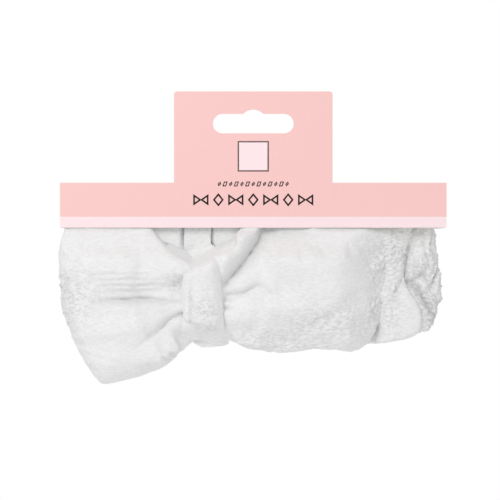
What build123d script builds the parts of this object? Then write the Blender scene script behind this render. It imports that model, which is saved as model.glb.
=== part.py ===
from build123d import *

import os
from math import cos, radians, sin

# Spa headband with a bow, folded flat and held in the sleeve of a header card that hangs on a hook.
# Millimetres. X runs across the card, Y points away from the viewer, Z is up.
# The origin is the centre of the hang slot, in the middle of the board's thickness.

os.makedirs("parts", exist_ok=True)

# Header card
board = 0.5
sleeve_width = 212.6
sleeve_height = 24.7
tab_width = 87.2
tab_height = 50.2
tab_corner = 1.7
slot_drop = 17.7
slot_length = 44.4
slot_width = 10.7
slot_bump_radius = 7.7
flap_width = 14.0
flap_taper = 1.5
glue_width = 10.0
glue_thickness = 0.08
crease_gap = 0.05
hinge_gap = 0.15

# Headband, from its front layer to its back layer
band_thickness = 7.0
band_height = 85.2
band_drop = 67.3
casing_thickness = 7.0
casing_height = 66.0
head_gap = 6.9
fold_clearance = 0.4
elastic_width = 25.0
elastic_thickness = 1.0
channel_play = 0.6
seam_thickness = 0.6
seam_clearance = 0.3
seam_inset = 22.0
back_seam_inset = 66.3
seam_stitch_gap = 0.05
layer_play = 1.75
thread = 0.4
stitch_length = 3.6
stitch_pitch = 4.0

# Bow
bow_depth = 12.0
bow_clearance = 0.75
layer_clearance = 0.6
bow_bulge = 10.0
bow_overhang = 0.5
knot_inset = 78.7
knot_rise = 33.0
gather_radius = 32.0
gather_height = 56.0
loop_gap = 0.5
loop_slit = 2.4
left_rise = 47.5
left_drop = 51.4
right_reach = 99.7
right_rise = 62.0
right_drop = 34.3
wrap_width = 25.9
wrap_thickness = 3.0
wrap_clearance = 0.4
wrap_bulge = 14.0
thread_turns = 5

# Card, from the origin
tab_top = slot_drop
sleeve_top = tab_top - tab_height
sleeve_bottom = sleeve_top - sleeve_height
sleeve_middle = (sleeve_top + sleeve_bottom) / 2
half_sleeve = sleeve_width / 2
inside_half = half_sleeve - board

# Layers, front to back
bow_front = board / 2 + bow_clearance
bow_back = bow_front + bow_depth
band_front = bow_back + layer_clearance
band_back = band_front + band_thickness
band_middle = (band_front + band_back) / 2
casing_front = band_back + head_gap
casing_back = casing_front + casing_thickness
casing_middle = (casing_front + casing_back) / 2
thicker = max(band_thickness, casing_thickness)
back_inner = casing_middle + thicker / 2 + layer_play
back_outer = back_inner + board

# Heights
band_bottom = sleeve_bottom - band_drop
band_top = band_bottom + band_height
band_centre = (band_bottom + band_top) / 2
casing_centre = band_centre - 1.6
knot_z = band_bottom + knot_rise
knot_x = -half_sleeve + knot_inset

# The folds at the two ends, which stay inside the sleeve
fold_middle = (band_middle + casing_middle) / 2
fold_radius = (casing_middle - band_middle) / 2
left_fold_x = -inside_half + fold_clearance + fold_radius + band_thickness / 2
right_fold_x = inside_half - fold_clearance - fold_radius - casing_thickness / 2
right_seam_x = half_sleeve - seam_inset
left_seam_x = -half_sleeve + back_seam_inset
seam_room = seam_thickness / 2 + seam_clearance


# ---- header card ----

def card_front_panel():
    """Front of the card: two arms, and the tab with its hang slot."""
    with BuildPart() as panel:
        with BuildSketch(Plane.XZ.offset(-board / 2)):
            with Locations((0, sleeve_middle)):
                Rectangle(sleeve_width, sleeve_height)
            with Locations((0, tab_top - tab_height / 2)):
                tab = Rectangle(tab_width, tab_height)
            fillet(tab.vertices().group_by(Axis.Y)[-1], tab_corner)
            SlotOverall(slot_length, slot_width, mode=Mode.SUBTRACT)
            with BuildLine():
                bump = CenterArc((0, 0), slot_bump_radius, 0, 180)
                Line(bump @ 1, bump @ 0)
            make_face(mode=Mode.SUBTRACT)
        extrude(amount=board)
    panel.part.label = "card_front_panel"
    return panel.part


def card_side(side, label):
    """Side of the sleeve, on the left for -1 and on the right for 1."""
    front = board / 2 + crease_gap
    back = back_inner - hinge_gap
    with BuildPart() as panel:
        with Locations((side * (half_sleeve - board / 2), (front + back) / 2, sleeve_middle)):
            Box(board, back - front, sleeve_height)
    panel.part.label = label
    return panel.part


def card_back_panel():
    """Back of the sleeve, one flat board."""
    with BuildPart() as panel:
        with Locations((0, (back_inner + back_outer) / 2, sleeve_middle)):
            Box(sleeve_width, board, sleeve_height)
    panel.part.label = "card_back_panel"
    return panel.part


def card_glue_flap():
    """Flap folded in from the right side, with tapered ends."""
    flap_back = back_inner - hinge_gap
    with BuildPart() as flap:
        with BuildSketch(Plane.XZ.offset(-flap_back)):
            with Locations((inside_half - flap_width / 2, sleeve_middle)):
                shape = Rectangle(flap_width, sleeve_height)
            chamfer(shape.vertices().group_by(Axis.X)[0], flap_taper)
        extrude(amount=board)
    flap.part.label = "card_glue_flap"
    return flap.part


def glue_strip():
    """Glue on the back of the flap."""
    with BuildPart() as strip:
        middle = back_inner - hinge_gap + glue_thickness / 2
        with Locations((inside_half - flap_width / 2, middle, sleeve_middle)):
            Box(glue_width, glue_thickness, sleeve_height - 4)
    strip.part.label = "glue_strip"
    return strip.part


# ---- headband ----

def folded_strip(front_end, back_end, fold_x, thickness, height, centre):
    """Strip on edge, in plan from the front end round the fold to the back end."""
    side = 1 if fold_x > 0 else -1
    with BuildPart() as strip:
        with BuildSketch(Plane.XY.offset(centre - height / 2)):
            with BuildLine():
                Line((front_end, band_middle), (fold_x, band_middle))
                CenterArc((fold_x, fold_middle), fold_radius, -90, side * 180)
                Line((fold_x, casing_middle), (back_end, casing_middle))
            trace(line_width=thickness)
        extrude(amount=height)
    return strip.part


def front_band():
    """Towelling band: the front layer, and the left part of the back layer."""
    front_end = right_seam_x - seam_room
    back_end = left_seam_x - seam_room
    strip = folded_strip(
        front_end, back_end, left_fold_x, band_thickness, band_height, band_centre
    )
    with BuildPart() as band:
        add(strip)
        levels = band.faces().group_by(Axis.Z)
        fillet(levels[0].edges() + levels[-1].edges(), band_thickness * 0.4)
    band.part.label = "front_band"
    return band.part


def back_casing():
    """Ruched casing for the elastic: the right end of the front layer, and most of the back."""
    front_end = right_seam_x + seam_room
    back_end = left_seam_x + seam_room
    channel_height = elastic_width + 2 * channel_play
    channel_depth = elastic_thickness + 2 * channel_play
    strip = folded_strip(
        front_end, back_end, right_fold_x, casing_thickness, casing_height, casing_centre
    )
    channel = folded_strip(
        front_end, back_end, right_fold_x, channel_depth, channel_height, casing_centre
    )
    with BuildPart() as casing:
        add(strip)
        levels = casing.faces().group_by(Axis.Z)
        fillet(levels[0].edges() + levels[-1].edges(), casing_thickness * 0.4)
        add(channel, mode=Mode.SUBTRACT)
    casing.part.label = "back_casing"
    return casing.part


def elastic_strip():
    """Elastic in the casing's channel, from seam to seam."""
    front_end = right_seam_x + seam_room
    back_end = left_seam_x + seam_room
    elastic = folded_strip(
        front_end, back_end, right_fold_x, elastic_thickness, elastic_width, casing_centre
    )
    elastic.label = "elastic_strip"
    return elastic


def join_seam(x, y, label):
    """Seam allowance pressed flat between the ends of the band and the casing."""
    with BuildPart() as seam:
        with Locations((x, y, casing_centre)):
            Box(seam_thickness, band_thickness - 1, casing_height - 4)
    seam.part.label = label
    return seam.part


def seam_stitches(x, y, label):
    """Overlock stitches across a seam: a running thread with a cross stitch at each pitch."""
    rows = int((casing_height - 6) / stitch_pitch)
    with BuildPart() as stitches:
        with Locations((x, y, casing_centre)):
            Box(thread, thread, rows * stitch_pitch)
        for row in range(rows + 1):
            height = casing_centre + (row - rows / 2) * stitch_pitch
            with Locations((x, y, height)):
                Box(stitch_length, thread, thread)
    stitches.part.label = label
    return stitches.part


# ---- bow ----

def knot_section(inset):
    """Outline of the knot wrap from the side, brought in all round by the inset."""
    top = band_top + wrap_thickness + wrap_clearance
    bottom = band_bottom - wrap_thickness - wrap_clearance
    front = bow_front - wrap_bulge
    upper = band_front - wrap_thickness - wrap_clearance
    back = band_back + wrap_thickness + wrap_clearance
    with BuildSketch(Plane.YZ) as section:
        with BuildLine():
            Polyline(
                (upper, top),
                (upper, sleeve_bottom - 2),
                (front, knot_z + 22),
                (front, knot_z - 20),
                (upper - 6, bottom),
                (back, bottom),
                (back, top),
                close=True,
            )
        make_face()
        fillet(section.vertices().group_by(Axis.X)[0], wrap_thickness * 3)
        fillet(section.vertices().group_by(Axis.Y)[0], wrap_thickness + 1)
        fillet(section.vertices().group_by(Axis.Y)[-1], wrap_thickness + 0.2)
        if inset > 0:
            offset(amount=-inset, mode=Mode.REPLACE)
    return section.sketch


def gather_block(inset, width):
    """Block of the bow's gathered middle, brought in all round by the inset."""
    outline = knot_section(wrap_thickness + wrap_clearance + inset)
    depth = 60
    with BuildPart() as block:
        extrude(outline, amount=width / 2, both=True)
        with Locations((0, bow_back - inset - depth / 2, knot_z)):
            Box(2 * width, depth, gather_height - 2 * inset, mode=Mode.INTERSECT)
    return block.part


def knot_wrap():
    """Strip of towelling round the bow's middle and the band."""
    outside = knot_section(0)
    inside = knot_section(wrap_thickness)
    with BuildPart() as wrap:
        extrude(outside, amount=wrap_width / 2, both=True)
        extrude(inside, amount=wrap_width, both=True, mode=Mode.SUBTRACT)
    moved = wrap.part.moved(Location((knot_x, 0, 0)))
    moved.label = "knot_wrap"
    return moved


def bow_gather():
    """Gathered middle of the bow, with a groove that its thread lies in."""
    whole = gather_block(0, 2 * gather_radius)
    core = gather_block(2 * thread + 0.2, 2 * gather_radius)
    with BuildPart() as groove:
        with Locations((0, 0, knot_z)):
            Box(thread_turns * thread + 0.4, 90, 120)
        add(core, mode=Mode.SUBTRACT)
    with BuildPart() as gather:
        add(whole)
        with Locations((0, 0, knot_z)):
            Cylinder(gather_radius, 90, rotation=(90, 0, 0), mode=Mode.INTERSECT)
        add(groove.part, mode=Mode.SUBTRACT)
    moved = gather.part.moved(Location((knot_x, 0, 0)))
    moved.label = "bow_gather"
    return moved


def gather_thread():
    """Thread wound round the bow's middle, its turns side by side."""
    outside = gather_block(0.1, thread_turns * thread)
    inside = gather_block(2 * thread, 2 * gather_radius)
    with BuildPart() as turns:
        add(outside)
        add(inside, mode=Mode.SUBTRACT)
    moved = turns.part.moved(Location((knot_x, 0, 0)))
    moved.label = "gather_thread"
    return moved


def knot_wrap_stitches():
    """Hand stitches that close the wrap, on its strip inside the band."""
    rows = int(band_height / 2 / stitch_pitch)
    back = band_back + wrap_thickness + wrap_clearance + seam_stitch_gap + thread / 2
    with BuildPart() as stitches:
        with Locations((knot_x, back, band_centre)):
            Box(thread, thread, rows * stitch_pitch)
        for row in range(rows + 1):
            height = band_centre + (row - rows / 2) * stitch_pitch
            with Locations((knot_x, back, height)):
                Box(stitch_length, thread, thread, rotation=(0, 25, 0))
    stitches.part.label = "knot_wrap_stitches"
    return stitches.part


def bow_loop(points, neck, outer_x, slit, label):
    """Loop of the bow: a flattened tube that bulges forward below the sleeve."""
    side = 1 if outer_x > knot_x else -1
    top = max(point[1] for point in points) + 5
    bottom = min(point[1] for point in points)
    bulge = bow_front - bow_bulge
    with BuildSketch(Plane.XZ) as outline:
        with BuildLine():
            curve = Spline(*points)
            Polyline(curve @ 1, *neck, curve @ 0)
        make_face()
    with BuildSketch(Plane.YZ) as section:
        with BuildLine():
            Polyline(
                (bow_front, top),
                (bow_front, sleeve_bottom - 1.3),
                (bulge, sleeve_bottom - 13),
                (bulge, bottom + 12),
                (bow_front - 3, bottom - 1),
                (bow_back, bottom - 1),
                (bow_back, top),
                close=True,
            )
        make_face()
        fillet(section.vertices().group_by(Axis.X)[0], bow_bulge * 0.8)
        fillet(section.vertices().group_by(Axis.Y)[0], 3)
    with BuildSketch(Plane.XY.offset(bottom - 5)) as plan:
        with Locations((outer_x - side * 75, (bulge + bow_back) / 2)):
            shape = Rectangle(150, bow_back - bulge)
        ends = shape.vertices().group_by(Axis.X)
        fillet(ends[-1] if side > 0 else ends[0], bow_depth * 0.6)
    with BuildPart() as loop:
        extrude(outline.sketch, amount=60, both=True)
        extrude(section.sketch, amount=sleeve_width, both=True, mode=Mode.INTERSECT)
        extrude(plan.sketch, amount=top - bottom + 10, mode=Mode.INTERSECT)
        with Locations((knot_x, 0, knot_z)):
            Cylinder(gather_radius + loop_gap, 120, rotation=(90, 0, 0), mode=Mode.SUBTRACT)
        with Locations(((slit[0] + slit[1]) / 2, bow_back - bow_depth * 0.45, knot_z)):
            Box(abs(slit[1] - slit[0]), loop_slit, 300, mode=Mode.SUBTRACT)
    loop.part.label = label
    return loop.part


def on_ring(angle, share):
    """Point at an angle from the knot, at a share of the gather's radius."""
    reach = gather_radius * share
    return (knot_x + reach * cos(radians(angle)), knot_z + reach * sin(radians(angle)))


def bow_left_loop():
    """Left loop, whose outer end droops below the band."""
    outer_x = -half_sleeve - bow_overhang
    reach = outer_x - knot_x
    points = [
        (knot_x + reach * 0.358, knot_z + left_rise * 0.726),
        (knot_x + reach * 0.636, knot_z + left_rise),
        (knot_x + reach * 0.92, knot_z + left_rise * 0.85),
        (outer_x, knot_z + left_rise * 0.24),
        (knot_x + reach * 0.92, knot_z - left_drop * 0.45),
        (knot_x + reach * 0.71, knot_z - left_drop),
        (knot_x + reach * 0.269, knot_z - left_drop * 0.778),
    ]
    neck = [on_ring(236, 1), on_ring(236, 0.8), on_ring(130, 0.8), on_ring(130, 1)]
    slit = (knot_x + reach * 0.9, knot_x + reach * 0.5)
    return bow_loop(points, neck, outer_x, slit, "bow_left_loop")


def bow_right_loop():
    """Right loop, fuller at the top, where it stands behind the tab."""
    outer_x = knot_x + right_reach
    reach = right_reach
    points = [
        (knot_x + reach * 0.26, knot_z + right_rise * 0.64),
        (knot_x + reach * 0.5, knot_z + right_rise),
        (knot_x + reach * 0.74, knot_z + right_rise * 0.8),
        (knot_x + reach * 0.93, knot_z + right_rise * 0.68),
        (outer_x, knot_z + right_rise * 0.25),
        (knot_x + reach * 0.93, knot_z - right_drop * 0.8),
        (knot_x + reach * 0.7, knot_z - right_drop),
        (knot_x + reach * 0.24, knot_z - right_drop * 0.98),
    ]
    neck = [on_ring(-56, 1), on_ring(-56, 0.8), on_ring(50, 0.8), on_ring(50, 1)]
    slit = (knot_x + reach * 0.9, knot_x + reach * 0.5)
    return bow_loop(points, neck, outer_x, slit, "bow_right_loop")


# ---- build and save ----

stitch_reach = thicker / 2 + seam_stitch_gap + thread / 2
pieces = [
    card_front_panel(),
    card_side(-1, "card_left_side"),
    card_side(1, "card_right_side"),
    card_back_panel(),
    card_glue_flap(),
    glue_strip(),
    front_band(),
    back_casing(),
    elastic_strip(),
    join_seam(left_seam_x, casing_middle, "left_join_seam"),
    join_seam(right_seam_x, band_middle, "right_join_seam"),
    seam_stitches(left_seam_x, casing_middle - stitch_reach, "left_seam_stitches"),
    seam_stitches(right_seam_x, band_middle + stitch_reach, "right_seam_stitches"),
    knot_wrap(),
    bow_gather(),
    gather_thread(),
    knot_wrap_stitches(),
    bow_left_loop(),
    bow_right_loop(),
]
for piece in pieces:
    export_step(piece, f"parts/{piece.label}.step")
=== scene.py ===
import math

import bmesh
import bpy
import numpy as np
from mathutils import Matrix, Vector, noise


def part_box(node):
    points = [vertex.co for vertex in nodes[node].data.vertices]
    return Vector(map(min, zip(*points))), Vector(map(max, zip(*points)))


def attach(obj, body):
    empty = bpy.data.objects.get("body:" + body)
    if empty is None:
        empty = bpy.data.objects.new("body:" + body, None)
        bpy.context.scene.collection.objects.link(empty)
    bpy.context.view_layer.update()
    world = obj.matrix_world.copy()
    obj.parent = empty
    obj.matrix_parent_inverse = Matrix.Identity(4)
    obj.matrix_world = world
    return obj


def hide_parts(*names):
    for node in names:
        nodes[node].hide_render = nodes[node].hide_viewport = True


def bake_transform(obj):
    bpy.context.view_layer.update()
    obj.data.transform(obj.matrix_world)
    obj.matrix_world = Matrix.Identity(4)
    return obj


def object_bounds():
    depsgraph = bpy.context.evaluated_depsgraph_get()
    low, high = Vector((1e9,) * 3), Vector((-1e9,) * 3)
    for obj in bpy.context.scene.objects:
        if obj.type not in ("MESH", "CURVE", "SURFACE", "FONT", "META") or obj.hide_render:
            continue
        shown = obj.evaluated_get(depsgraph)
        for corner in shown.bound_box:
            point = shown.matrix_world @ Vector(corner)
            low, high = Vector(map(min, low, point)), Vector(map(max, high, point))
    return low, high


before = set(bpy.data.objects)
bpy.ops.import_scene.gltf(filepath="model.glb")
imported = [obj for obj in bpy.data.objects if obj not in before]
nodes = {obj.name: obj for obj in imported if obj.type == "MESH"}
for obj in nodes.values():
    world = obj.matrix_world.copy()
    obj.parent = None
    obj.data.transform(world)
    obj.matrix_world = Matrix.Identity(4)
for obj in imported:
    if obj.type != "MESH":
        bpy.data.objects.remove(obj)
cad_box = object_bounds()


# ---------------------------------------------------------------- studio
# The headband hangs in front of a pale wall of light, over a plain pale floor. A large soft
# box stands up and to the left, a weaker one to the right, and one behind lights the edges.

MM = 0.001


def linear(code):
    """Linear colour, with alpha, of an sRGB hex code."""
    shares = [int(code[i:i + 2], 16) / 255 for i in (1, 3, 5)]
    return [c / 12.92 if c <= 0.04045 else ((c + 0.055) / 1.055) ** 2.4 for c in shares] + [1]


def add_node(tree, kind, settings=None, **inputs):
    """Node of a kind, with its settings and with each input given a value or a link."""
    node = tree.nodes.new("ShaderNode" + kind)
    for key, value in (settings or {}).items():
        setattr(node, key, value)
    for key, value in inputs.items():
        place = int(key[1:]) if key[0] == "i" and key[1:].isdigit() else key.replace("_", " ")
        socket = node.inputs[place]
        if isinstance(value, bpy.types.NodeSocket):
            tree.links.new(value, socket)
        else:
            socket.default_value = value
    return node


studio = bpy.data.worlds.new("studio")
bpy.context.scene.world = studio
studio.use_nodes = True
studio.node_tree.nodes.clear()
seen = add_node(studio.node_tree, "LightPath")
wall = add_node(studio.node_tree, "Background", Color=linear("#ffffff"), Strength=1.0)
glow = add_node(studio.node_tree, "Background", Color=linear("#fafafb"), Strength=0.66)
chosen = add_node(
    studio.node_tree, "MixShader",
    i0=seen.outputs["Is Camera Ray"], i1=glow.outputs[0], i2=wall.outputs[0],
)
add_node(studio.node_tree, "OutputWorld", Surface=chosen.outputs[0])
bpy.context.scene.view_settings.view_transform = "Standard"

floor_drop = 0.17
floor_radius = 0.5
floor_mesh = bpy.data.meshes.new("floor")
ground = bmesh.new()
bmesh.ops.create_circle(ground, cap_ends=True, segments=96, radius=floor_radius)
bmesh.ops.translate(ground, verts=ground.verts, vec=(0, 0, cad_box[0][2] - floor_drop))
ground.to_mesh(floor_mesh)
ground.free()
floor = bpy.data.objects.new("floor", floor_mesh)
bpy.context.scene.collection.objects.link(floor)

# matt studio vinyl, which gives an even pale ground
vinyl = bpy.data.materials.new("studio_vinyl")
vinyl.use_nodes = True
vinyl.node_tree.nodes["Principled BSDF"].inputs["Base Color"].default_value = linear("#f2f2f2")
vinyl.node_tree.nodes["Principled BSDF"].inputs["Roughness"].default_value = 0.8
floor_mesh.materials.append(vinyl)


def soft_box(name, place, aim, side, watts, tint):
    """Square area light at a place, turned to what it lights."""
    lamp = bpy.data.lights.new(name, "AREA")
    lamp.energy = watts
    lamp.size = side
    lamp.color = linear(tint)[:3]
    box = bpy.data.objects.new(name, lamp)
    box.location = place
    box.rotation_euler = (Vector(aim) - Vector(place)).to_track_quat("-Z", "Y").to_euler()
    bpy.context.scene.collection.objects.link(box)


middle = (0, 0, -0.08)
soft_box("key_light", (-0.44, -0.8, 0.42), middle, 0.45, 3.8, "#fffefc")
soft_box("fill_light", (0.6, -0.9, 0.1), middle, 0.8, 1.1, "#fdfdfd")
soft_box("back_light", (0.1, 0.9, 0.5), middle, 0.6, 5.0, "#ffffff")

lens, sensor = 100, 36
field_width = 0.275
camera = bpy.data.objects.new("camera", bpy.data.cameras.new("camera"))
camera.data.lens = lens
camera.data.sensor_width = sensor
camera.location = (-0.0018, -field_width * lens / sensor, -0.0695)
camera.rotation_euler = (math.radians(90), 0, 0)
camera.data.clip_start = 0.01
bpy.context.scene.collection.objects.link(camera)
bpy.context.scene.camera = camera


# ---------------------------------------------------------------- header card
# Coated board, half a millimetre thick, printed pink with a paler stripe along its lower edge.
# It is cut and creased flat, then folded into a sleeve and glued, so only its cut edges are bare.

PINK = "#f8c9c6"
PALE = "#fce5e8"
BOARD_CORE = "#e9e4dc"
stripe_height = 6.0 * MM
arms_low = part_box("card_left_side")[0]


def printed_board(name, facing):
    """Board with its print on the side that faces one way: a clay-coated, slightly satin sheet."""
    board = bpy.data.materials.new(name)
    board.use_nodes = True
    tree = board.node_tree
    tree.nodes.clear()
    where = add_node(tree, "TexCoord")
    place = add_node(tree, "SeparateXYZ", Vector=where.outputs["Object"])
    # the stripe is the part of the print below a level
    stripe = add_node(
        tree, "Math", {"operation": "LESS_THAN"},
        i0=place.outputs["Z"], i1=arms_low[2] + stripe_height,
    )
    # litho dots and pulp give a very faint mottle, a millimetre across and finer
    pulp = add_node(
        tree, "TexNoise", Vector=where.outputs["Object"], Scale=1 / (0.9 * MM), Detail=4.0,
        Roughness=0.6,
    )
    inked = add_node(
        tree, "Mix", {"data_type": "RGBA"}, i0=stripe.outputs[0],
        i6=linear(PINK), i7=linear(PALE),
    )
    tone = add_node(
        tree, "MapRange", Value=pulp.outputs["Fac"], i1=0.3, i2=0.7, i3=0.975, i4=1.01,
    )
    shade = add_node(
        tree, "Mix", {"data_type": "RGBA", "blend_type": "MULTIPLY"}, i0=1.0,
        i6=inked.outputs[2], i7=tone.outputs[0],
    )
    # the cut edges and the inside are bare pulp
    side = add_node(
        tree, "VectorMath", {"operation": "DOT_PRODUCT"},
        i0=where.outputs["Normal"], i1=facing,
    )
    printed = add_node(
        tree, "Math", {"operation": "GREATER_THAN"}, i0=side.outputs["Value"], i1=0.5,
    )
    fibre = add_node(
        tree, "TexNoise", Vector=where.outputs["Object"], Scale=1 / (0.35 * MM), Detail=3.0,
    )
    core = add_node(
        tree, "Mix", {"data_type": "RGBA"}, i0=fibre.outputs["Fac"],
        i6=linear(BOARD_CORE), i7=linear("#f7f5f1"),
    )
    colour = add_node(
        tree, "Mix", {"data_type": "RGBA"}, i0=printed.outputs[0],
        i6=core.outputs[2], i7=shade.outputs[2],
    )
    gloss = add_node(
        tree, "MapRange", Value=printed.outputs[0], i1=0.0, i2=1.0, i3=0.85, i4=0.46,
    )
    relief = add_node(
        tree, "Bump", Strength=0.12, Distance=0.03 * MM, Height=pulp.outputs["Fac"],
    )
    coat = add_node(
        tree, "BsdfPrincipled", Base_Color=colour.outputs[2], Roughness=gloss.outputs[0],
        IOR=1.48, Normal=relief.outputs[0],
    )
    add_node(tree, "OutputMaterial", Surface=coat.outputs[0])
    return board


panels = {
    "card_front_panel": (0, -1, 0),
    "card_left_side": (-1, 0, 0),
    "card_right_side": (1, 0, 0),
    "card_back_panel": (0, 1, 0),
    "card_glue_flap": (0, 1, 0),
}
for panel, facing in panels.items():
    nodes[panel].data.materials.clear()
    nodes[panel].data.materials.append(printed_board("printed_board_" + panel[5:], facing))

# The glue is a dried bead of white PVA, slightly yellow and satin.
pva = bpy.data.materials.new("dried_pva_glue")
pva.use_nodes = True
tree = pva.node_tree
grain = add_node(
    tree, "TexNoise", Vector=add_node(tree, "TexCoord").outputs["Object"], Scale=1 / (1.5 * MM),
)
film = add_node(
    tree, "Mix", {"data_type": "RGBA"}, i0=grain.outputs["Fac"],
    i6=linear("#e8e2d2"), i7=linear("#f3f0e6"),
)
glue_shader = tree.nodes["Principled BSDF"]
tree.links.new(film.outputs[2], glue_shader.inputs["Base Color"])
glue_shader.inputs["Roughness"].default_value = 0.35
nodes["glue_strip"].data.materials.clear()
nodes["glue_strip"].data.materials.append(pva)


# ---------------------------------------------------------------- print on the card
# Ink lies on the front panel as a film far thinner than the board: an emblem square in a fine
# frame, a row of small lozenges, and a border of bows and diamonds in black line.

INK_BLACK = "#0e0b0c"
INK_TAUPE = "#705a5a"
ink_film = 0.03 * MM
card_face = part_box("card_front_panel")[0][1]


def ink(name, colour):
    """Offset ink: a dense, dry, slightly uneven film."""
    film = bpy.data.materials.new(name)
    film.use_nodes = True
    tree = film.node_tree
    shader = tree.nodes["Principled BSDF"]
    where = add_node(tree, "TexCoord")
    wear = add_node(
        tree, "TexNoise", Vector=where.outputs["Object"], Scale=1 / (0.6 * MM), Detail=3.0,
    )
    lighter = [c + 0.01 for c in linear(colour)[:3]] + [1]
    tone = add_node(
        tree, "Mix", {"data_type": "RGBA"}, i0=wear.outputs["Fac"],
        i6=linear(colour), i7=lighter,
    )
    tree.links.new(tone.outputs[2], shader.inputs["Base Color"])
    shader.inputs["Roughness"].default_value = 0.5
    shader.inputs["Specular IOR Level"].default_value = 0.2
    return film


def print_shapes(name, shapes, film):
    """Flat inked shapes on the card's face. Each shape is a polygon's corner count, middle,
    half width, half height, turn, lean and line weight, and a weight of 0 is solid ink."""
    sheet = bmesh.new()
    for corners, x, z, half_width, half_height, turn, lean, weight in shapes:
        verts = bmesh.ops.create_circle(
            sheet, cap_ends=True, segments=corners, radius=1.0,
            matrix=Matrix.Rotation(turn, 4, "Z"),
        )["verts"]
        low = [min(v.co[i] for v in verts) for i in (0, 1)]
        high = [max(v.co[i] for v in verts) for i in (0, 1)]
        for v in verts:
            across = (v.co.x - (low[0] + high[0]) / 2) / (high[0] - low[0]) * 2
            up = (v.co.y - (low[1] + high[1]) / 2) / (high[1] - low[1]) * 2
            v.co = ((x + across * half_width + up * lean) * MM, (z + up * half_height) * MM, 0)
        face = verts[0].link_faces[0]
        sheet.normal_update()
        flat = [face]
        if weight:
            flat = bmesh.ops.inset_region(
                sheet, faces=[face], thickness=weight * MM, use_boundary=True,
                use_even_offset=True,
            )["faces"]
            bmesh.ops.delete(sheet, geom=[face], context="FACES_ONLY")
        raised = bmesh.ops.extrude_face_region(sheet, geom=flat)["geom"]
        lifted = [g for g in raised if isinstance(g, bmesh.types.BMVert)]
        bmesh.ops.translate(sheet, verts=lifted, vec=(0, 0, ink_film))
    stand = Matrix.Translation((0, card_face, 0)) @ Matrix.Rotation(math.pi / 2, 4, "X")
    bmesh.ops.transform(sheet, matrix=stand, verts=sheet.verts)
    bmesh.ops.recalc_face_normals(sheet, faces=sheet.faces)
    mesh = bpy.data.meshes.new(name)
    sheet.to_mesh(mesh)
    sheet.free()
    piece = bpy.data.objects.new(name, mesh)
    bpy.context.scene.collection.objects.link(piece)
    mesh.materials.append(film)
    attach(piece, "card")


quarter = math.pi / 4
emblem_z, frame_line = -18.0, 0.8
emblem_fill = [(4, 0, emblem_z, 8.1, 7.9, quarter, 0, 0)]
emblem_frame = [(4, 0, emblem_z, 8.6, 8.4, quarter, 0, frame_line)]
print_shapes("emblem_fill", emblem_fill, ink("ink_pale_pink", PALE))
print_shapes("emblem_frame", emblem_frame, ink("ink_taupe", INK_TAUPE))

# every other lozenge of the small row stands on its side
small_z, small_pitch, small_line = -33.2, 3.1, 0.52
small_row = [
    (4, step * small_pitch, small_z, 1.0, 1.35, quarter if step % 2 else 0, 0.45, small_line)
    for step in range(-6, 7)
]
black = ink("ink_black", INK_BLACK)
print_shapes("small_border", small_row, black)

# a bow is two triangles, point to point, and a diamond stands between two bows
border_z, border_pitch, border_line = -41.9, 9.6, 0.92
half_bow_middle = 1.9
border = []
for step in range(-3, 4):
    x = step * border_pitch
    if step % 2:
        for side in (-1, 1):
            wing = x + side * half_bow_middle
            border.append((3, wing, border_z, 2.3, 3.2, side * math.pi / 2, 0, border_line))
    else:
        border.append((4, x, border_z, 3.0, 3.7, 0, 0, border_line))
print_shapes("main_border", border, black)


# ---------------------------------------------------------------- front band
# White coral-pile towelling, sewn as a wide tube and pressed flat, from the right seam across
# the forehead and round the left fold. The pile is about 2 mm long and lies in soft clumps.

pile_seed = Vector((3.1, 7.7, 1.9))
# the pile's drift would take its offsets from the clock without a seed
noise.seed_set(7)
knot_low, knot_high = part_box("bow_gather")
knot = ((knot_low[0] + knot_high[0]) / 2, 0, (knot_low[2] + knot_high[2]) / 2)


def coords(mesh, what="co"):
    """Points or normals of a mesh's vertices, one row each."""
    values = np.empty(len(mesh.vertices) * 3)
    if what == "co":
        mesh.vertices.foreach_get("co", values)
    else:
        mesh.vertex_normals.foreach_get("vector", values)
    return values.reshape(-1, 3)


def set_coords(mesh, places):
    """Moves a mesh's vertices to the places given, one row each."""
    mesh.vertices.foreach_set("co", places.reshape(-1))
    mesh.update()


def from_knot(places):
    """Millimetres across, back and up from the middle of the knot."""
    return (
        (places[:, 0] - knot[0]) / MM,
        places[:, 1] / MM,
        (places[:, 2] - knot[2]) / MM,
    )


def set_from_knot(mesh, u, y, w):
    """Puts a mesh's vertices at millimetres across, back and up from the middle of the knot."""
    set_coords(mesh, np.column_stack((knot[0] + u * MM, y * MM, knot[2] + w * MM)))


def ease(low, high, value):
    """0 below the first limit and 1 above the second, smooth between."""
    share = np.clip((value - low) / (high - low), 0, 1)
    return share * share * (3 - 2 * share)


def settle(piece):
    """Makes a piece's live modifiers part of its mesh."""
    depsgraph = bpy.context.evaluated_depsgraph_get()
    done = bpy.data.meshes.new_from_object(piece.evaluated_get(depsgraph))
    piece.modifiers.clear()
    piece.data = done


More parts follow.
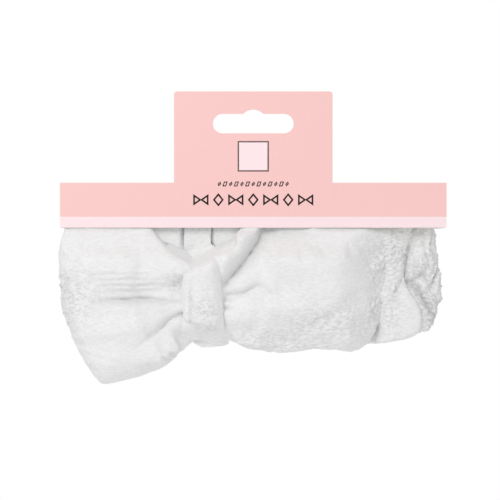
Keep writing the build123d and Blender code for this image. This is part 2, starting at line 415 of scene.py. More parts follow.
def towelling_skin(name, sources, voxel, smoothing, shape=None):
    """One closed skin of even small faces over the solids of the nodes named. A shape, where
    one is given, moves their points first."""
    cloth = bmesh.new()
    for source in sources:
        cloth.from_mesh(nodes[source].data)
    bmesh.ops.remove_doubles(cloth, verts=cloth.verts, dist=0.01 * MM)
    mesh = bpy.data.meshes.new(name)
    cloth.to_mesh(mesh)
    cloth.free()
    if shape:
        set_coords(mesh, shape(coords(mesh)))
    piece = bpy.data.objects.new(name, mesh)
    bpy.context.scene.collection.objects.link(piece)
    grid = piece.modifiers.new("even", "REMESH")
    grid.mode = "VOXEL"
    grid.voxel_size = voxel * MM
    settle(piece)
    cloth = bmesh.new()
    cloth.from_mesh(piece.data)
    for _ in range(smoothing):
        bmesh.ops.smooth_vert(
            cloth, verts=cloth.verts, factor=0.5,
            use_axis_x=True, use_axis_y=True, use_axis_z=True,
        )
    cloth.to_mesh(piece.data)
    cloth.free()
    return piece


def refine(piece):
    """Smoother mesh, with four faces for each one."""
    finer = piece.modifiers.new("finer", "SUBSURF")
    finer.levels = 1
    finer.render_levels = 1
    settle(piece)


def smooth_line(points):
    """Points along a smooth curve through the points given, eight to each stretch."""
    p = np.array([points[0], *points, points[-1]], float)
    steps = 8
    out = []
    for i in range(1, len(p) - 2):
        for t in np.linspace(0, 1, steps, endpoint=False):
            a, b, c, d = p[i - 1:i + 3]
            out.append(0.5 * (
                2 * b + (c - a) * t + (2 * a - 5 * b + 4 * c - d) * t ** 2
                + (3 * b - a - 3 * c + d) * t ** 3
            ))
    out.append(p[-2])
    return np.array(out)


def near_line(points, u, w):
    """Distance from a curve in the front view, and the share along it."""
    line = smooth_line(points)
    lengths = np.linalg.norm(np.diff(line, axis=0), axis=1)
    start = np.concatenate([[0], np.cumsum(lengths)])
    best = np.full(u.shape, 1e9)
    share = np.zeros(u.shape)
    for i, (a, b) in enumerate(zip(line[:-1], line[1:])):
        d = b - a
        t = np.clip(((u - a[0]) * d[0] + (w - a[1]) * d[1]) / (d @ d), 0, 1)
        far = np.hypot(u - a[0] - t * d[0], w - a[1] - t * d[1])
        closer = far < best
        best = np.where(closer, far, best)
        share = np.where(closer, (start[i] + t * lengths[i]) / start[-1], share)
    return best, share


def fold_cloth(piece, folds, front_limit=None):
    """Presses folds into the front of a piece. Each fold is a kind, a curve in mm from the
    knot, a width and the heights along it: a swell is round, and a crease is sharp at its
    bottom. Writes how deep in a crease each point lies, as an attribute of painted crease shade."""
    mesh = piece.data
    places, normals = coords(mesh), coords(mesh, "normal")
    u, y, w = from_knot(places)
    front = ease(0.0, 0.5, -normals[:, 1])
    lift = np.zeros(len(u))
    crease_shade = np.zeros(len(u))
    full_shade_depth = 9  # mm of crease at which the painted shade is full
    for kind, points, width, heights in folds:
        far, share = near_line(points, u, w)
        height = np.interp(share, np.linspace(0, 1, len(heights)), heights)
        if kind == "swell":
            lift += height * np.exp(-(far / width) ** 2)
        elif kind == "crease":
            lift -= height * np.exp(-far / width)
            crease_shade += height / full_shade_depth * np.exp(-(far / width / 1.1) ** 2)
    moved = y - lift * front
    if front_limit:
        moved = np.where(front > 0, np.maximum(moved, np.minimum(y, front_limit(w))), moved)
    places[:, 1] = moved * MM
    set_coords(mesh, places)
    # the crease depth is kept for the towelling's painted crease shade
    depth = mesh.attributes.new("painted_crease_shade", "FLOAT", "POINT")
    depth.data.foreach_set("value", np.clip(crease_shade, 0, 1) * front)


def under_card(w):
    """Furthest forward that cloth may come, in mm: behind the card's front panel, and further
    the lower it lies below the card's edge."""
    edge = (arms_low[2] - knot[2]) / MM
    return 0.9 - ease(edge - 0.4, edge - 4.5, w) * 9.0 - ease(edge - 4, edge - 14, w) * 8.0


def trim_outline(piece, middle, outline):
    """Draws the edge of a piece in the front view to an outline in mm from the knot, given
    anticlockwise round a middle. Past the outline's ends it fades back to the piece's edge."""
    mesh = piece.data
    u, y, w = from_knot(coords(mesh))
    du, dw = u - middle[0], w - middle[1]
    radius, turn = np.hypot(du, dw), np.degrees(np.arctan2(dw, du)) % 360
    bins, fade = 180, 12
    index = (turn / 360 * bins).astype(int) % bins
    now = np.zeros(bins)
    np.maximum.at(now, index, radius)
    now = (np.roll(now, 1) + now * 2 + np.roll(now, -1)) / 4
    steps = (np.arange(bins) + 0.5) * 360 / bins
    marks = np.array(outline, float) - middle
    angle = np.degrees(np.unwrap(np.arctan2(marks[:, 1], marks[:, 0])))
    reach = np.hypot(marks[:, 0], marks[:, 1])
    want = now.copy()
    for i, step in enumerate(steps):
        for a in (step - 360, step, step + 360):
            if angle[0] <= a <= angle[-1]:
                want[i] = np.interp(a, angle, reach)
            for end, past in ((0, angle[0] - a), (-1, a - angle[-1])):
                if 0 < past < fade:
                    share = 1 - past / fade
                    there = now[int(angle[end] % 360 / 360 * bins) % bins]
                    want[i] = now[i] * (1 - share) + now[i] * reach[end] / there * share
    ratio = want / now
    ratio = (np.roll(ratio, 1) + ratio * 2 + np.roll(ratio, -1)) / 4
    factor = np.interp(turn, steps, ratio, period=360)
    edge = np.interp(turn, steps, now, period=360)
    grow = 1 + (factor - 1) * np.clip(radius / edge, 0, 1) ** 2
    set_from_knot(mesh, middle[0] + du * grow, y, middle[1] + dw * grow)


def lock_height(point, length, lean):
    """Height of the pile at a point, from about -1 to 1, in locks of a length in mm that lie
    at an angle and are two fifths as wide."""
    p = point + noise.noise_vector(point / (7 * MM) + pile_seed) * 1.6 * MM
    along = p.x * math.cos(lean) + p.z * math.sin(lean)
    across = p.z * math.cos(lean) - p.x * math.sin(lean)
    lock = Vector((along / length, p.y / (length * 0.6), across / (length * 0.38))) / MM
    return 0.65 * noise.noise(lock) + 0.35 * noise.noise(lock * 2.1 + pile_seed)


def raise_pile(piece, length, height, patches, lean):
    """Lifts and sinks the surface by the pile's locks. They stand further apart in the patches
    given, each a middle in mm from the knot, two radii and a height, and lie at an angle."""
    mesh = piece.data
    places, normals = coords(mesh), coords(mesh, "normal")
    u, y, w = from_knot(places)
    open_pile = np.zeros(len(u))
    depth = np.full(len(u), height)
    for (pu, pw), radii, more in patches:
        share = np.exp(-((u - pu) / radii[0]) ** 2 - ((w - pw) / radii[1]) ** 2)
        depth = depth + more * share
        open_pile = np.maximum(open_pile, share)
    points = [Vector(p) for p in places]
    ragged = np.array([noise.noise(p / (9 * MM) - pile_seed) for p in points])
    depth *= np.clip(1 + 1.8 * ragged, 0.3, 2)
    # the pile stands off the cloth where it turns away, so that the outline is uneven
    depth *= 1 + 1.4 * (1 - np.abs(normals[:, 1]))
    locks = np.array([lock_height(p, length, lean) for p in points])
    broad = np.array([noise.noise(p / (17 * MM) + pile_seed) for p in points])
    places += normals * ((locks * depth + broad * 0.35) * MM)[:, None]
    set_coords(mesh, places)
    mesh.attributes.new("open_pile", "FLOAT", "POINT").data.foreach_set("value", open_pile)
    for face in mesh.polygons:
        face.use_smooth = True


def soften(piece, middle, radii, rounds):
    """Evens out the front of a piece inside an oval, in mm from the knot."""
    u, y, w = from_knot(coords(piece.data))
    front_depth = 12
    inside = ((u - middle[0]) / radii[0]) ** 2 + ((w - middle[1]) / radii[1]) ** 2 < 1
    cloth = bmesh.new()
    cloth.from_mesh(piece.data)
    cloth.verts.ensure_lookup_table()
    loose = [cloth.verts[int(i)] for i in np.nonzero(inside & (y < front_depth))[0]]
    for _ in range(rounds):
        bmesh.ops.smooth_vert(
            cloth, verts=loose, factor=0.5,
            use_axis_x=True, use_axis_y=True, use_axis_z=True,
        )
    cloth.to_mesh(piece.data)
    cloth.free()


def towelling(name, gap_shade_tone, tone_light):
    """Polyester coral pile: no shine from the front, a soft halo at the edges, and locks of
    fibre that part where the pile stands open, with painted shade in the gaps between them."""
    cloth = bpy.data.materials.new(name)
    cloth.use_nodes = True
    tree = cloth.node_tree
    tree.nodes.clear()
    where = add_node(tree, "TexCoord")
    opened = add_node(tree, "Attribute", {"attribute_name": "open_pile"})
    nap = add_node(
        tree, "Mapping", {"vector_type": "POINT"}, Vector=where.outputs["Object"],
        Rotation=(0, math.radians(-20), 0), Scale=(0.45, 1.0, 1.1),
    )
    # locks of fibre are about 1 mm across
    locks = add_node(
        tree, "TexNoise", Vector=nap.outputs[0], Scale=1 / (1.1 * MM), Detail=1.0,
        Roughness=0.5, Distortion=0.4,
    )
    # single fibres are 0.02 mm, drawn at 0.4 mm so that they show
    fibre = add_node(
        tree, "TexNoise", Vector=nap.outputs[0], Scale=1 / (0.42 * MM), Detail=3.0,
        Roughness=0.6,
    )
    # the nap lies in broad strokes, each a shade lighter or darker
    drift = add_node(
        tree, "TexNoise", Vector=where.outputs["Object"], Scale=1 / (14 * MM), Detail=2.0,
    )
    parting = add_node(
        tree, "MapRange", Value=opened.outputs["Fac"], i1=0.0, i2=1.0, i3=0.28, i4=1.0,
    )
    parted = add_node(
        tree, "Math", {"operation": "MULTIPLY"}, i0=locks.outputs["Fac"], i1=parting.outputs[0],
    )
    height = add_node(
        tree, "Math", {"operation": "MULTIPLY_ADD"},
        i0=fibre.outputs["Fac"], i1=0.42, i2=parted.outputs[0],
    )
    # painted shade in the gaps between locks, strongest where the pile stands open
    gap = add_node(
        tree, "MapRange", Value=locks.outputs["Fac"], i1=0.64, i2=0.32, i3=0.0, i4=1.0,
    )
    gap_shade = add_node(
        tree, "Math", {"operation": "MULTIPLY"}, i0=gap.outputs[0], i1=parting.outputs[0],
    )
    colour = add_node(
        tree, "Mix", {"data_type": "RGBA"}, i0=gap_shade.outputs[0],
        i6=linear(tone_light), i7=linear(gap_shade_tone),
    )
    cast = add_node(
        tree, "MapRange", Value=drift.outputs["Fac"], i1=0.3, i2=0.7, i3=0.965, i4=1.0,
    )
    # painted shade: the pile's colour darkens by up to a fifth at the bottom of a crease
    crease_shade = add_node(tree, "Attribute", {"attribute_name": "painted_crease_shade"})
    dim = add_node(
        tree, "MapRange", Value=crease_shade.outputs["Fac"], i1=0.0, i2=1.0, i3=1.0, i4=0.8,
    )
    held = add_node(tree, "Math", {"operation": "MULTIPLY"}, i0=cast.outputs[0], i1=dim.outputs[0])
    shade = add_node(
        tree, "Mix", {"data_type": "RGBA", "blend_type": "MULTIPLY"}, i0=1.0,
        i6=colour.outputs[2], i7=held.outputs[0],
    )
    relief = add_node(
        tree, "Bump", Strength=0.42, Distance=0.35 * MM, Height=height.outputs[0],
    )
    pile = add_node(
        tree, "BsdfPrincipled", Base_Color=shade.outputs[2], Roughness=0.95,
        Sheen_Weight=0.2, Sheen_Roughness=0.5, Normal=relief.outputs[0],
        Specular_IOR_Level=0.1,
    )
    add_node(tree, "OutputMaterial", Surface=pile.outputs[0])
    return cloth


# the darker grey is painted shade for the pile's gaps, the lighter one the fibre's own white
white_pile = towelling("coral_pile_towelling", "#d6d6d6", "#f0f0f0")


def dress(piece, body, replaced):
    """Gives a piece its towelling. A loop has no body of its own here, for it is blended."""
    piece.data.materials.clear()
    piece.data.materials.append(white_pile)
    if body:
        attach(piece, body)
    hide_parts(*replaced)


def tuck_band(piece):
    """The band's front end is drawn in where it meets the casing, and its lower corner swings
    across the seam as a lobe. The wrap nips its lower edge, and its left fold leans in."""
    u, y, w = from_knot(coords(piece.data))
    front = ease(24, 20, y)
    # the front end, at the solid's plain edge, is drawn to the curved seam
    plain, lower_edge = 111.9, -33
    seam_w = [-40, -30, -23, -15, -8, -3, 2, 7, 14, 21, 28, 34, 52]
    seam_u = [119, 121, 122, 121, 118.5, 115.8, 113.4, 112, 112.5, 114, 116, 117.5, 116]
    u = u + ease(86, plain, u) * front * (np.interp(w, seam_w, seam_u) - plain)
    # the lobe's lower edge rises to the right, and the wrap nips the edge by 9 mm
    low_u = [60, 97, 104, 112, 119, 126, 130]
    low_w = [-33, -30.5, -29.5, -28, -25.5, -23, -16]
    rise = np.interp(u, low_u, low_w) - lower_edge
    w = w + ease(5, lower_edge, w) * rise * ease(60, 90, u)
    w = w + 9 * ease(-3, lower_edge, w) * np.exp(-((u + 4) / 20) ** 2)
    lean = ease(-5, lower_edge, w) * ease(-40, -74, u)
    u = u + lean * 8
    w = w + lean * 5
    y = y - front * ease(88, 104, u) * (6.0 + 1.5 * ease(10, -10, w))
    # it comes forward where it shows between the bow's upper edge and the card, and most of
    # all beside the strip
    bow_u = [-26, -18, -10, -5.5, 1, 6.6, 12.6, 18]
    bow_w = [28, 26, 22, 19.5, 23, 25, 27, 28]
    bow_top = np.interp(u, bow_u, bow_w)
    above = ease(-40, -30, u) * ease(36, 26, u) * ease(bow_top - 6, bow_top, w) * ease(52, 46, w)
    beside = 1 - ease(-13.6, -10.6, u) * ease(6.9, 3.9, u)
    y = y - front * above * (6.0 + 3.2 * beside)
    set_from_knot(piece.data, u, y, w)


def pucker_band(piece):
    """At the back the band is drawn in where it is sewn to the casing, and it sags a little."""
    places = coords(piece.data)
    x, y, z = places.T / MM
    seam_low, seam_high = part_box("left_join_seam")
    seam = (seam_low[0] + seam_high[0]) / 2 / MM
    back = ease(22, 27, y)
    gathers = np.array([noise.noise(Vector((a / 34, c / 5.5, 2.0))) for a, c in zip(x, z)])
    sag = np.array([noise.noise(Vector((a / 26, c / 30, 9.0))) for a, c in zip(x, z)])
    drawn_in = 5.0 * gathers * np.exp(-np.abs(x - seam) / 17) + 3.0 * sag
    # it stays inside the card's back, and may stand out 3 mm more below it
    card_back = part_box("card_back_panel")[0][1] / MM - 0.6
    behind_card = ease(arms_low[2] / MM - 6, arms_low[2] / MM, z)
    limit = np.maximum(y, card_back * behind_card + (card_back + 3) * (1 - behind_card))
    places[:, 1] = np.minimum(y + drawn_in * back, limit) * MM
    set_coords(piece.data, places)


band = towelling_skin("towelling_band", ["front_band"], 1.3, 4)
refine(band)
tuck_band(band)
pucker_band(band)
fold_cloth(band, [
    ("crease", [(110, 5), (106, -3), (105, -8)], 1.5, [3, 2.5, 0.5]),
    ("swell", [(110, -4), (111, -24)], 7, [1.5, 2]),
    ("crease", [(105, -14), (109, -22), (108, -28)], 1.6, [0.3, 1.0, 0.3]),
    ("crease", [(117.5, 34), (115.5, 28), (113.5, 21), (112, 14), (111, 7)],
     2.4, [3, 3, 3, 2.5, 1.5]),
    ("swell", [(104, 28), (103, 16)], 4, [1.2, 1.0]),
    ("swell", [(95, -22), (95.5, -27)], 3.0, [-3, -3]),
])
raise_pile(band, 2.8, 0.18, [((104, 20), (10, 24), 1.1), ((104, -12), (7, 14), 0.5)], lean=0.9)
dress(band, "headband", ["front_band"])


# ---------------------------------------------------------------- back casing and seams
# The same towelling, sewn as a narrower tube round a flat elastic that draws it into gathers.
# Its ends are overlocked to the band's.

def ruche(piece, pitch, depth):
    """Vertical gathers, flattest along the elastic's two edges. They are spaced along the cloth,
    which turns round the right fold from the back to the front."""
    mesh = piece.data
    fold_x, fold_y, fold_radius = 94.9, 24.05, 6.9
    half_elastic = 13
    places, normals = coords(mesh), coords(mesh, "normal")
    x, y, z = places.T / MM
    wander = np.array([noise.noise(Vector((a / 30, b / 9, c / 16))) for a, b, c in zip(x, y, z)])
    run = np.where(x > fold_x, fold_x + fold_radius * np.arctan2(x - fold_x, fold_y - y), x)
    back_layer = (y > 24) & (x < fold_x)
    run = np.where(back_layer, fold_x * 2 + fold_radius * np.pi - x, run)
    wave = np.array([
        noise.noise(Vector((r / pitch + 2.5 * w, c / 26, 5.0)))
        for r, w, c in zip(run, wander, z)
    ])
    level = (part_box("elastic_strip")[0][2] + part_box("elastic_strip")[1][2]) / 2 / MM
    hold = 0.55 + 0.45 * np.abs(np.cos((z - level) / half_elastic * math.pi / 2))
    places += normals * (wave * depth * hold * MM)[:, None]
    set_coords(mesh, places)


casing = towelling_skin("ruched_casing", ["back_casing"], 1.2, 4)
refine(casing)
ruche(casing, 5.5, 4.0)
# its front end comes forward, and is tucked in behind the band's
u, y, w = from_knot(coords(casing.data))
near_front = ease(24, 20, y)
y = y - 4.5 * near_front * ease(100, 113, u)
u = u - 9 * near_front * ease(121, 112, u)
set_from_knot(casing.data, u, y, w)
trim_outline(casing, (118, 5), [
    (126, -23), (130.2, -18), (132.6, -9.7), (133.4, -1.1), (131.4, 10.5), (131, 21.5),
    (128.6, 33),
])
fold_cloth(casing, [
    ("crease", [(118, 36), (116, 28), (114, 21), (112.5, 14), (111.5, 7)],
     2.4, [3, 3, 3.5, 3.5, 3.5]),
    ("crease", [(118.2, 12.1), (122.6, 8.3), (127.6, 2.8)], 2.0, [3.0, 3.0, 1.0]),
    ("crease", [(112, 5), (119.3, -1.1), (124.2, -8.3), (129.6, -15.4)], 2.2, [4, 5, 4.5, 2.5]),
    ("swell", [(116, 8), (122, 2), (128, -6)], 3.0, [1.5, 1.5, 1.0]),
    ("swell", [(122, 30), (124, 18)], 5.0, [1.5, 1.5]),
])
raise_pile(casing, 2.8, 0.16, [((122, 5), (13, 30), 1.1)], lean=-0.75)
dress(casing, "headband", ["back_casing"])

# Knitted elastic: fine ribs along it, slightly glossy.
knit = bpy.data.materials.new("knitted_elastic")
knit.use_nodes = True
tree = knit.node_tree
where = add_node(tree, "TexCoord")
ribs = add_node(
    tree, "TexWave", {"bands_direction": "Z"}, Vector=where.outputs["Object"],
    Scale=0.314 / (1.6 * MM), Distortion=0.4, Detail=1.0,
)
yarn = add_node(
    tree, "Mix", {"data_type": "RGBA"}, i0=ribs.outputs["Fac"],
    i6=linear("#dcdbd6"), i7=linear("#f2f1ee"),
)
relief = add_node(tree, "Bump", Strength=0.5, Distance=0.2 * MM, Height=ribs.outputs["Fac"])
shader = tree.nodes["Principled BSDF"]
tree.links.new(yarn.outputs[2], shader.inputs["Base Color"])
tree.links.new(relief.outputs[0], shader.inputs["Normal"])
shader.inputs["Roughness"].default_value = 0.6
nodes["elastic_strip"].data.materials.clear()
nodes["elastic_strip"].data.materials.append(knit)

# Spun polyester thread: plied, so its surface has a fine slant and a slight gloss.
spun = bpy.data.materials.new("spun_polyester_thread")
spun.use_nodes = True
tree = spun.node_tree
where = add_node(tree, "TexCoord")
ply = add_node(
    tree, "TexWave", {"bands_direction": "DIAGONAL"}, Vector=where.outputs["Object"],
    Scale=0.314 / (0.3 * MM),
)
twist = add_node(
    tree, "Mix", {"data_type": "RGBA"}, i0=ply.outputs["Fac"],
    i6=linear("#d8d8d6"), i7=linear("#f5f5f3"),
)
relief = add_node(tree, "Bump", Strength=0.6, Distance=0.06 * MM, Height=ply.outputs["Fac"])
shader = tree.nodes["Principled BSDF"]
tree.links.new(twist.outputs[2], shader.inputs["Base Color"])
tree.links.new(relief.outputs[0], shader.inputs["Normal"])
shader.inputs["Roughness"].default_value = 0.5
for row in ("left_seam_stitches", "right_seam_stitches", "knot_wrap_stitches"):
    nodes[row].data.materials.clear()
    nodes[row].data.materials.append(spun)
for seam in ("left_join_seam", "right_join_seam"):
    nodes[seam].data.materials.clear()
    nodes[seam].data.materials.append(white_pile)


# ---------------------------------------------------------------- bow
# A wide strip of the same towelling, closed into two loops and gathered at its middle. Each
# loop is one skin with its half of the gathers, and bends where it leaves the knot.

def join_gathers(places):
    """Pulls a loop's inner edge into the gathers, so that they become one skin."""
    loop_edge, inside_gathers = (32.2, 33.2), 29.5
    x, z = places[:, 0] - knot[0], places[:, 2] - knot[2]
    far = np.hypot(x, z)
    at_edge = (far < loop_edge[1] * MM) & (far > loop_edge[0] * MM)
    pull = np.where(at_edge, inside_gathers * MM / far, 1.0)
    places[:, 0] = knot[0] + x * pull
    places[:, 2] = knot[2] + z * pull
    return places


def puff(piece, pressure, most):
    """Lets the sewn skin fill out as cloth, by up to a distance in mm. It is done on a copy ten
    times as large, held at the knot and behind the card."""
    size, frames = 10, 14
    mesh = piece.data.copy()
    start = coords(mesh)
    set_coords(mesh, start * size)
    copy = bpy.data.objects.new("filling_out", mesh)
    bpy.context.scene.collection.objects.link(copy)
    u, y, w = from_knot(start)
    held = copy.vertex_groups.new(name="held")
    hold = np.maximum(1 - ease(16, 46, np.hypot(u, w)), ease(20, 29, w))
    for i in np.nonzero(hold > 0.01)[0]:
        held.add([int(i)], float(hold[i]), "REPLACE")
    cloth = copy.modifiers.new("cloth", "CLOTH")
    cloth.settings.quality = 5
    cloth.settings.mass = 0.3
    cloth.settings.tension_stiffness = 12
    cloth.settings.compression_stiffness = 6
    cloth.settings.shear_stiffness = 4
    cloth.settings.bending_stiffness = 0.3
    cloth.settings.use_pressure = True
    cloth.settings.uniform_pressure_force = pressure
    cloth.settings.shrink_min = -0.06
    cloth.settings.vertex_group_mass = "held"
    cloth.settings.effector_weights.gravity = 0
    cloth.collision_settings.use_collision = False
    cloth.point_cache.frame_start = 1
    cloth.point_cache.frame_end = frames
    scene = bpy.context.scene
    for step in range(1, frames + 1):
        scene.frame_set(step)
    depsgraph = bpy.context.evaluated_depsgraph_get()
    done = bpy.data.meshes.new_from_object(copy.evaluated_get(depsgraph))
    move = coords(done) / size - start
    bpy.data.objects.remove(copy)
    bpy.data.meshes.remove(done)
    scene.frame_set(1)
    far = np.linalg.norm(move, axis=1)
    move *= np.minimum(1, most * MM / np.maximum(far, 1e-9))[:, None]
    filled = start + move
    limit = np.minimum(start[:, 1], under_card(w) * MM)
    filled[:, 1] = np.maximum(filled[:, 1], limit)
    set_coords(piece.data, filled)


def nip(piece):
    """Draws the bow's upper edge down to the knot, lower on the left than on the right."""
    u, y, w = from_knot(coords(piece.data))
    plain_top = 28.5
    along = [-26, -18, -10, -5.5, 1, 6.6, 12.6, 18]
    top = [28.5, 27.5, 22.5, 19.5, 23, 25.5, 27.5, 28.5]
    w = w * (1 + (np.interp(u, along, top) / plain_top - 1) * ease(3, 18, w))
    set_from_knot(piece.data, u, y, w)


def half_bow(name, loop, cut_u, outward):
    """A loop and its half of the gathers, closed where they are cut, in mm from the knot. What
    lies to the right of the cut goes if outward is 1, and to its left if -1."""
    piece = towelling_skin(name, [loop, "bow_gather"], 1.5, 6, join_gathers)
    half = bmesh.new()
    half.from_mesh(piece.data)
    bmesh.ops.bisect_plane(
        half, geom=[*half.verts, *half.edges, *half.faces],
        plane_co=(knot[0] + cut_u * MM, 0, 0), plane_no=(outward, 0, 0), clear_outer=True,
    )
    bmesh.ops.holes_fill(half, edges=[e for e in half.edges if e.is_boundary])
    bmesh.ops.triangulate(half, faces=[f for f in half.faces if len(f.verts) > 4])
    half.to_mesh(piece.data)
    half.free()
    return piece


# The gathering thread is drawn in with the bow's neck, so that it stays under the wrap.
snug_height, snug_depth, thread_middle = 0.86, 0.9, 2 * MM
thread_mesh = bpy.data.meshes.new("gathering_thread")
turns = bmesh.new()
turns.from_mesh(nodes["gather_thread"].data)
bmesh.ops.remove_doubles(turns, verts=turns.verts, dist=0.01 * MM)
bmesh.ops.subdivide_edges(turns, edges=turns.edges, cuts=1, use_grid_fill=True)
turns.to_mesh(thread_mesh)
turns.free()
thread = bpy.data.objects.new("gathering_thread", thread_mesh)
bpy.context.scene.collection.objects.link(thread)
thread_mesh.materials.append(spun)
nip(thread)
drawn = coords(thread_mesh)
drawn[:, 2] = knot[2] + (drawn[:, 2] - knot[2]) * snug_height
drawn[:, 1] = thread_middle + (drawn[:, 1] - thread_middle) * snug_depth
set_coords(thread_mesh, drawn)
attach(thread, "headband")
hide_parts("gather_thread")

left_loop = half_bow("bow_loop_left", "bow_left_loop", 2, 1)
puff(left_loop, 3.0, 3.0)
refine(left_loop)
nip(left_loop)
trim_outline(left_loop, (-40, -10), [
    (-76.7, 33.5), (-79.2, 12.6), (-78.2, 0.5), (-76.5, -12.1), (-72.9, -23.1), (-68.8, -31.9),
    (-65.2, -38.8), (-59.6, -47.9), (-56.2, -51.6), (-50.7, -51.6), (-40.8, -49), (-30.3, -45.7),
    (-21.5, -42.4), (-15.5, -38), (-8.9, -32.5), (-4.1, -28.3),
])
left_folds = [
    ("swell", [(-74, 31), (-50, 31.5), (-34, 32)], 5, [2.0, 2.5, 1.0]),
    ("swell", [(-70, 12), (-45, 15), (-12, 12)], 11, [1.2, 2.0, 2.5]),
    ("swell", [(-56, 22), (-38, 20)], 6, [-0.8, -0.8]),
    ("swell", [(-66, 8), (-58, 4), (-54, -1), (-50, -3)], 5, [-1.5, -2.4, -2.4, -1.2]),
    ("swell", [(-50, 2), (-32, 1), (-14, 0)], 6, [-1.2, -2.0, -2.4]),
    ("crease", [(-62, -7.0), (-52, -5.4), (-42, -5.0), (-32, -4.6), (-26, -5.0), (-12, -6.4)],
     1.9, [0.2, 4.0, 6.4, 6.6, 4.2, 2.2]),
    ("swell", [(-54, -2), (-40, -1), (-24, -1)], 3.2, [-1.2, -2.0, -1.2]),
    ("swell", [(-62, -10.5), (-48, -9), (-30, -8.6)], 2.6, [0.8, 1.8, 1.2]),
    ("swell", [(-60, 10), (-50, 10.5), (-40, 9.6), (-29, 10.4)], 0.9, [0.3, 1.2, 1.3, 0.3]),
    ("swell", [(-58, 7), (-48, 6.9), (-39, 7.6), (-30, 6.6), (-22, 7.4)],
     0.9, [0.4, 1.5, 1.4, 1.2, 0.3]),
    ("swell", [(-56, 3.6), (-46, 4.4), (-38, 3.9), (-27, 4.6), (-18, 3.8)],
     0.9, [0.4, 1.4, 1.5, 1.2, 0.3]),
    ("swell", [(-52, 0.9), (-43, 1.2), (-33, 1.0), (-23, 1.6)], 0.9, [0.3, 1.2, 1.1, 0.3]),
    ("swell", [(-64, -12), (-50, -10), (-36, -8.4)], 1.6, [0.2, 0.6, 0.2]),
    ("swell", [(-62, -24), (-50, -23), (-38, -20)], 2.0, [0.2, 0.6, 0.2]),
    ("swell", [(-66, -18), (-48, -19), (-30, -15), (-13, -9.5)], 10, [2.0, 4.5, 4.5, 2.0]),
    ("swell", [(-60, -11), (-40, -9), (-24, -8)], 4, [0.5, 1.2, 0.8]),
    ("swell", [(-12, 4), (-14, 3)], 5, [-2.0, -2.0]),
    ("crease", [
        (-10, -12.5), (-12.2, -13.2), (-17.1, -15.4), (-21, -19.3), (-25.4, -23.1), (-37.5, -33),
    ], 2.2, [4.0, 4.2, 3.6, 2.4, 1.4, 0.2]),
    ("swell", [(-16, -24), (-30, -36)], 7, [1.5, 1.0]),
    ("crease", [(-34.7, -13.8), (-21, -6.9)], 1.2, [0.1, 0.9]),
    ("crease", [(-30, -15.5), (-17, -10.5)], 1.2, [0.1, 0.8]),
    ("crease", [(-11, -17), (-14, -28)], 1.5, [1.5, 0.2]),
    ("swell", [(-60, -33), (-46, -37)], 1.5, [0.6, 0.5]),
    ("swell", [(-60, -37.5), (-48, -41)], 1.5, [0.5, 0.4]),
]
soften(left_loop, (-36, 2), (20, 27), 16)
fold_cloth(left_loop, left_folds, under_card)
# its cut end is set back, so that the right loop's edge lies over it under the wrap
u, y, w = from_knot(coords(left_loop.data))
set_from_knot(left_loop.data, u, y + 3.0 * ease(-4, 0, u) * ease(8, 3, y), w)
raise_pile(left_loop, 3.4, 0.16, [((-70, -4), (12, 14), 0.8), ((-15, 4), (5, 5), 0.2)], lean=2.3)
dress(left_loop, None, ["bow_left_loop", "bow_gather"])
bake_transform(left_loop)

right_loop = half_bow("bow_loop_right", "bow_right_loop", -2, -1)
puff(right_loop, 3.0, 3.0)
refine(right_loop)
nip(right_loop)
trim_outline(right_loop, (55, 0), [
    (16, -29), (25.8, -32.7), (38.5, -34.6), (53.3, -33.6), (62.1, -32.5), (73.7, -33.2),
    (83, -34.6), (89.8, -31.6), (93.5, -26.5), (98, -17), (100.4, -6), (103, 8), (106, 22),
    (106.7, 34), (106, 50),
])
trim_outline(right_loop, (55, 0), [(24, 42), (20.3, 33.8), (12.8, 27.3)])
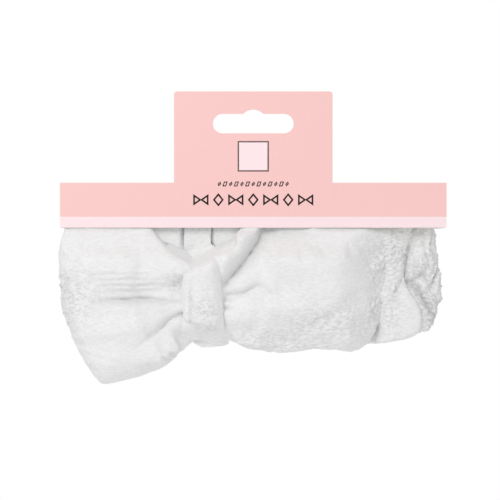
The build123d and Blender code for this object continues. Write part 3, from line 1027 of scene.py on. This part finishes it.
# it flattens against the band towards its rim and its lower edge
u, y, w = from_knot(coords(right_loop.data))
loop_back = 13.0
flatter = (1 - 0.78 * ease(72, 106, u)) * (1 - 0.3 * ease(-8, -34, w))
set_from_knot(right_loop.data, u, loop_back + (y - loop_back) * flatter, w)
right_folds = [
    ("swell", [(62, 31.5), (84, 32), (102, 32)], 5, [1.5, 3.5, 2.5]),
    ("swell", [(25, 34), (18, 25.5), (11, 20), (4, 17)], 6.5, [4.5, 5.5, 6.0, 2.5]),
    ("swell", [(20, 31), (14, 26), (7, 22), (0, 20)], 3.5, [1.5, 3.5, 3.5, 2.0]),
    ("swell", [(13, 15), (9.5, 9)], 5, [3.0, 2.5]),
    ("swell", [(36, 36), (32.5, 27.5), (28, 20.9), (23.8, 15.4), (19, 9.9)],
     4.0, [-2.0, -4, -5, -4.5, -2.5]),
    ("crease", [(33.5, 36), (30.5, 27.5), (26.3, 20.9), (22.2, 15.4), (17.8, 9.9), (12.7, 4)],
     2.4, [4, 5, 5, 5, 5, 5]),
    ("swell", [(40, 32), (56, 32)], 6, [-2.8, -1.8]),
    ("swell", [(14, 0), (25, 9), (45, 15), (70, 15), (92, 18)], 10, [1.5, 3.5, 4.5, 3.0, 0.5]),
    ("crease", [(13.5, -2.2), (21.4, -1.7), (25.8, 0.6), (29.7, 2.2), (33.5, 1.1)],
     1.7, [3.5, 3.4, 3.6, 3.0, 0.8]),
    ("swell", [(36.8, 3.4), (37.5, 2.4)], 3, [1.6, 1.6]),
    ("crease", [(36, -1.5), (45, -4.8)], 2.0, [1.6, 0.2]),
    ("crease", [(12, -5), (18, -5.5)], 1.6, [3, 0.3]),
    ("crease", [(12, -9.5), (18, -10.5)], 1.6, [3, 0.3]),
    ("swell", [(18, -16), (22, -17)], 6, [2.5, 2.0]),
    ("swell", [(4, -27), (20, -28)], 4.5, [2.0, 1.5]),
    ("swell", [(28, -8), (44, -10), (62, -4)], 8, [2.0, 2.0, 1.0]),
    ("swell", [(48, -24), (66, -17), (84, -6)], 5, [-1.0, -2.2, -1.8]),
    ("swell", [(81, -27), (86, -27)], 4.5, [2.2, 2.2]),
]
soften(right_loop, (10, 25), (14, 11), 8)
fold_cloth(right_loop, right_folds, under_card)
soften(right_loop, (10, 26), (12, 9), 6)
raise_pile(right_loop, 3.4, 0.16, [
    ((70, -18), (26, 12), 0.26), ((40, -28), (26, 8), 0.2), ((99, 12), (9, 26), 0.8),
    ((98, -14), (5, 14), 0.5),
], lean=0.2)
dress(right_loop, None, ["bow_right_loop"])
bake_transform(right_loop)


# ---------------------------------------------------------------- knot wrap
# A folded strip of the towelling, brought over the gathers and round the band, and closed by
# hand at the back. It creases where it is drawn in.

half_strip, strip_foot = 12.95, -36.4
wrap = towelling_skin("knot_wrap_strip", ["knot_wrap"], 1.1, 6)
refine(wrap)
u, y, w = from_knot(coords(wrap.data))
front = ease(22, 16, y)
plate = ease(9, 4, y)
# its top comes down to the nipped bow, and its foot slants
drop = (9.5 - 0.35 * u) * ease(-6, 29, w) * (1 - ease(34, 55, w))
w = w - drop * front
foot = np.interp(u, [-13, -6, -2, 4, 13], [-25.5, -28, -30, -31.8, -31.5])
w = w + (foot - strip_foot) * ease(-8, -36, w)
# where it stands out, its sides follow the knot, and where it lies back it is a plain strip
level = [-33, -30, -26, -19, -12, 0, 8, 15, 19, 27, 34, 50]
left = [-3, -6.5, -8.2, -10, -11.4, -12.2, -10.9, -8.6, -6.8, -6, -8, -12]
right = [13, 14.5, 13.5, 12.2, 12, 11.2, 10.2, 9.2, 8.2, 6, 6, 6]
strip_left, strip_right = -11.3, 4.6
low = np.interp(w, level, left) * plate + strip_left * (1 - plate)
high = np.interp(w, level, right) * plate + strip_right * (1 - plate)
across = u / half_strip
shaped = (low + high) / 2 + across * (high - low) / 2
u = u + (shaped - u) * front
# it is crowned over the gathers, goes back at its foot, and comes forward at its top
crown = 2.4 * (1 - np.clip(across, -1, 1) ** 2) - 1.8 * ease(0.5, 1.0, np.abs(across))
y = y - crown * front * ease(24, 14, w) + 3.0 * plate * ease(-18, -31, w)
y = y - 6.0 * front * (1 - plate) * ease(16, 26, w)
y = y - 3.6 * plate * ease(-6, 15, w) * ease(29, 17, w)
set_from_knot(wrap.data, u, y, w)
fold_cloth(wrap, [
    ("crease", [(-6.0, 8), (-6.1, 0), (-6.1, -9), (-6.3, -18), (-6.0, -27)],
     1.2, [0.2, 1.4, 2.2, 1.8, 0.2]),
    ("swell", [(-8.8, 10), (-9.0, -8), (-8.6, -20), (-6.0, -29)], 2.0, [0.6, 1.0, 0.8, 0.1]),
    ("swell", [(0, 12), (3, -6)], 6, [1.0, 0.8]),
    ("crease", [(2.5, 8), (3.5, -5)], 1.2, [0.3, 0.5]),
])
raise_pile(wrap, 3.0, 0.16, [((0.5, -12), (7, 9), 0.9)], lean=-0.7)
dress(wrap, "headband", ["knot_wrap"])
